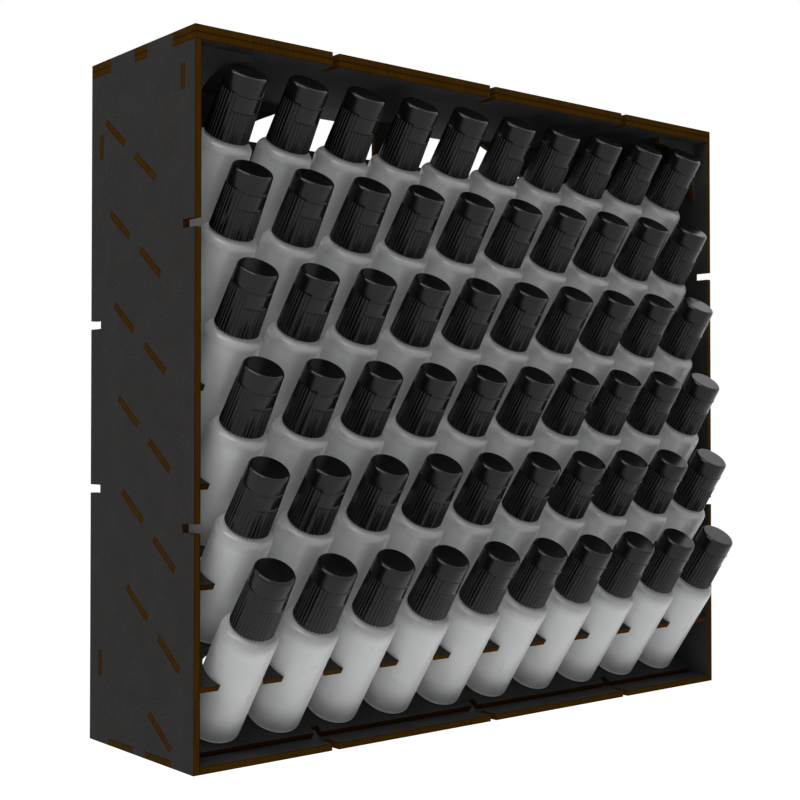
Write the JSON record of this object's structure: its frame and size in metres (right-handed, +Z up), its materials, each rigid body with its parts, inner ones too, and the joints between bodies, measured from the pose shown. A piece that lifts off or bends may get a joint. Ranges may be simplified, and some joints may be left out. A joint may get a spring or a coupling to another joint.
{
  "type": "paint bottle rack",
  "caption": "Open rack of slotted sheet whose tilted shelves hold rows of dropper bottles with ribbed screw caps in holes that break out through the shelves' front edges.",
  "frame": {"origin": "middle of the rack's footprint, on the surface it stands on", "axes": "+X along the rack to the user's right, +Y from the front to the back, +Z up"},
  "size_m": [0.3272, 0.1175, 0.3],
  "materials": {
    "sheet": "thin fibreboard with dark grey faces and brown laser-cut edges",
    "bottle": "milky translucent moulded plastic",
    "nozzle": "natural white moulded plastic",
    "cap": "black moulded plastic, ribbed below a smooth band"
  },
  "bodies": {
    "rack": {"left_side": "sheet", "right_side": "sheet", "top_panel_outer": "sheet", "top_panel_inner": "sheet", "bottom_panel": "sheet", "shelf_1": "sheet", "shelf_2": "sheet", "shelf_3": "sheet", "shelf_4": "sheet", "shelf_5": "sheet", "shelf_6": "sheet", "base_shelf": "sheet", "front_gussets": "sheet", "back_gussets": "sheet", "back_post": "sheet"},
    "bottle_row_1": {"bottles_row_1": "bottle", "nozzles_row_1": "nozzle", "caps_row_1": "cap"},
    "bottle_row_2": {"bottles_row_2": "bottle", "nozzles_row_2": "nozzle", "caps_row_2": "cap"},
    "bottle_row_3": {"bottles_row_3": "bottle", "nozzles_row_3": "nozzle", "caps_row_3": "cap"},
    "bottle_row_4": {"bottles_row_4": "bottle", "nozzles_row_4": "nozzle", "caps_row_4": "cap"},
    "bottle_row_5": {"bottles_row_5": "bottle", "nozzles_row_5": "nozzle", "caps_row_5": "cap"},
    "bottle_1": {"bottle_1": "bottle", "nozzle_1": "nozzle"},
    "cap_1": {"cap_1": "cap"},
    "bottle_2": {"bottle_2": "bottle", "nozzle_2": "nozzle"},
    "cap_2": {"cap_2": "cap"},
    "bottle_3": {"bottle_3": "bottle", "nozzle_3": "nozzle"},
    "cap_3": {"cap_3": "cap"},
    "bottle_4": {"bottle_4": "bottle", "nozzle_4": "nozzle"},
    "cap_4": {"cap_4": "cap"},
    "bottle_5": {"bottle_5": "bottle", "nozzle_5": "nozzle"},
    "cap_5": {"cap_5": "cap"},
    "bottle_6": {"bottle_6": "bottle", "nozzle_6": "nozzle"},
    "cap_6": {"cap_6": "cap"},
    "bottle_7": {"bottle_7": "bottle", "nozzle_7": "nozzle"},
    "cap_7": {"cap_7": "cap"},
    "bottle_8": {"bottle_8": "bottle", "nozzle_8": "nozzle"},
    "cap_8": {"cap_8": "cap"},
    "bottle_9": {"bottle_9": "bottle", "nozzle_9": "nozzle"},
    "cap_9": {"cap_9": "cap"},
    "bottle_10": {"bottle_10": "bottle", "nozzle_10": "nozzle"},
    "cap_10": {"cap_10": "cap"}
  },
  "joints": [
    {"name": "row_1_lift", "type": "slide", "parent": "rack", "child": "bottle_row_1", "axis": [0, -0.5736, 0.8192], "range_m": [0, 0.005]},
    {"name": "row_2_lift", "type": "slide", "parent": "rack", "child": "bottle_row_2", "axis": [0, -0.5736, 0.8192], "range_m": [0, 0.034]},
    {"name": "row_3_lift", "type": "slide", "parent": "rack", "child": "bottle_row_3", "axis": [0, -0.5736, 0.8192], "range_m": [0, 0.034]},
    {"name": "row_4_lift", "type": "slide", "parent": "rack", "child": "bottle_row_4", "axis": [0, -0.5736, 0.8192], "range_m": [0, 0.034]},
    {"name": "row_5_lift", "type": "slide", "parent": "rack", "child": "bottle_row_5", "axis": [0, -0.5736, 0.8192], "range_m": [0, 0.034]},
    {"name": "bottle_1_lift", "type": "slide", "parent": "rack", "child": "bottle_1", "axis": [0, -0.5736, 0.8192], "range_m": [0, 0.034]},
    {"name": "cap_1_unscrew", "type": "hinge", "parent": "bottle_1", "child": "cap_1", "pos_m": [-0.13995, -0.01912, 0.01383], "axis": [0, -0.5736, 0.8192], "range_deg": [0, 540]},
    {"name": "bottle_2_lift", "type": "slide", "parent": "rack", "child": "bottle_2", "axis": [0, -0.5736, 0.8192], "range_m": [0, 0.034]},
    {"name": "cap_2_unscrew", "type": "hinge", "parent": "bottle_2", "child": "cap_2", "pos_m": [-0.10885, -0.01912, 0.01383], "axis": [0, -0.5736, 0.8192], "range_deg": [0, 540]},
    {"name": "bottle_3_lift", "type": "slide", "parent": "rack", "child": "bottle_3", "axis": [0, -0.5736, 0.8192], "range_m": [0, 0.034]},
    {"name": "cap_3_unscrew", "type": "hinge", "parent": "bottle_3", "child": "cap_3", "pos_m": [-0.07775, -0.01912, 0.01383], "axis": [0, -0.5736, 0.8192], "range_deg": [0, 540]},
    {"name": "bottle_4_lift", "type": "slide", "parent": "rack", "child": "bottle_4", "axis": [0, -0.5736, 0.8192], "range_m": [0, 0.034]},
    {"name": "cap_4_unscrew", "type": "hinge", "parent": "bottle_4", "child": "cap_4", "pos_m": [-0.04665, -0.01912, 0.01383], "axis": [0, -0.5736, 0.8192], "range_deg": [0, 540]},
    {"name": "bottle_5_lift", "type": "slide", "parent": "rack", "child": "bottle_5", "axis": [0, -0.5736, 0.8192], "range_m": [0, 0.034]},
    {"name": "cap_5_unscrew", "type": "hinge", "parent": "bottle_5", "child": "cap_5", "pos_m": [-0.01555, -0.01912, 0.01383], "axis": [0, -0.5736, 0.8192], "range_deg": [0, 540]},
    {"name": "bottle_6_lift", "type": "slide", "parent": "rack", "child": "bottle_6", "axis": [0, -0.5736, 0.8192], "range_m": [0, 0.034]},
    {"name": "cap_6_unscrew", "type": "hinge", "parent": "bottle_6", "child": "cap_6", "pos_m": [0.01555, -0.01912, 0.01383], "axis": [0, -0.5736, 0.8192], "range_deg": [0, 540]},
    {"name": "bottle_7_lift", "type": "slide", "parent": "rack", "child": "bottle_7", "axis": [0, -0.5736, 0.8192], "range_m": [0, 0.034]},
    {"name": "cap_7_unscrew", "type": "hinge", "parent": "bottle_7", "child": "cap_7", "pos_m": [0.04665, -0.01912, 0.01383], "axis": [0, -0.5736, 0.8192], "range_deg": [0, 540]},
    {"name": "bottle_8_lift", "type": "slide", "parent": "rack", "child": "bottle_8", "axis": [0, -0.5736, 0.8192], "range_m": [0, 0.034]},
    {"name": "cap_8_unscrew", "type": "hinge", "parent": "bottle_8", "child": "cap_8", "pos_m": [0.07775, -0.01912, 0.01383], "axis": [0, -0.5736, 0.8192], "range_deg": [0, 540]},
    {"name": "bottle_9_lift", "type": "slide", "parent": "rack", "child": "bottle_9", "axis": [0, -0.5736, 0.8192], "range_m": [0, 0.034]},
    {"name": "cap_9_unscrew", "type": "hinge", "parent": "bottle_9", "child": "cap_9", "pos_m": [0.10885, -0.01912, 0.01383], "axis": [0, -0.5736, 0.8192], "range_deg": [0, 540]},
    {"name": "bottle_10_lift", "type": "slide", "parent": "rack", "child": "bottle_10", "axis": [0, -0.5736, 0.8192], "range_m": [0, 0.034]},
    {"name": "cap_10_unscrew", "type": "hinge", "parent": "bottle_10", "child": "cap_10", "pos_m": [0.13995, -0.01912, 0.01383], "axis": [0, -0.5736, 0.8192], "range_deg": [0, 540]}
  ]
}
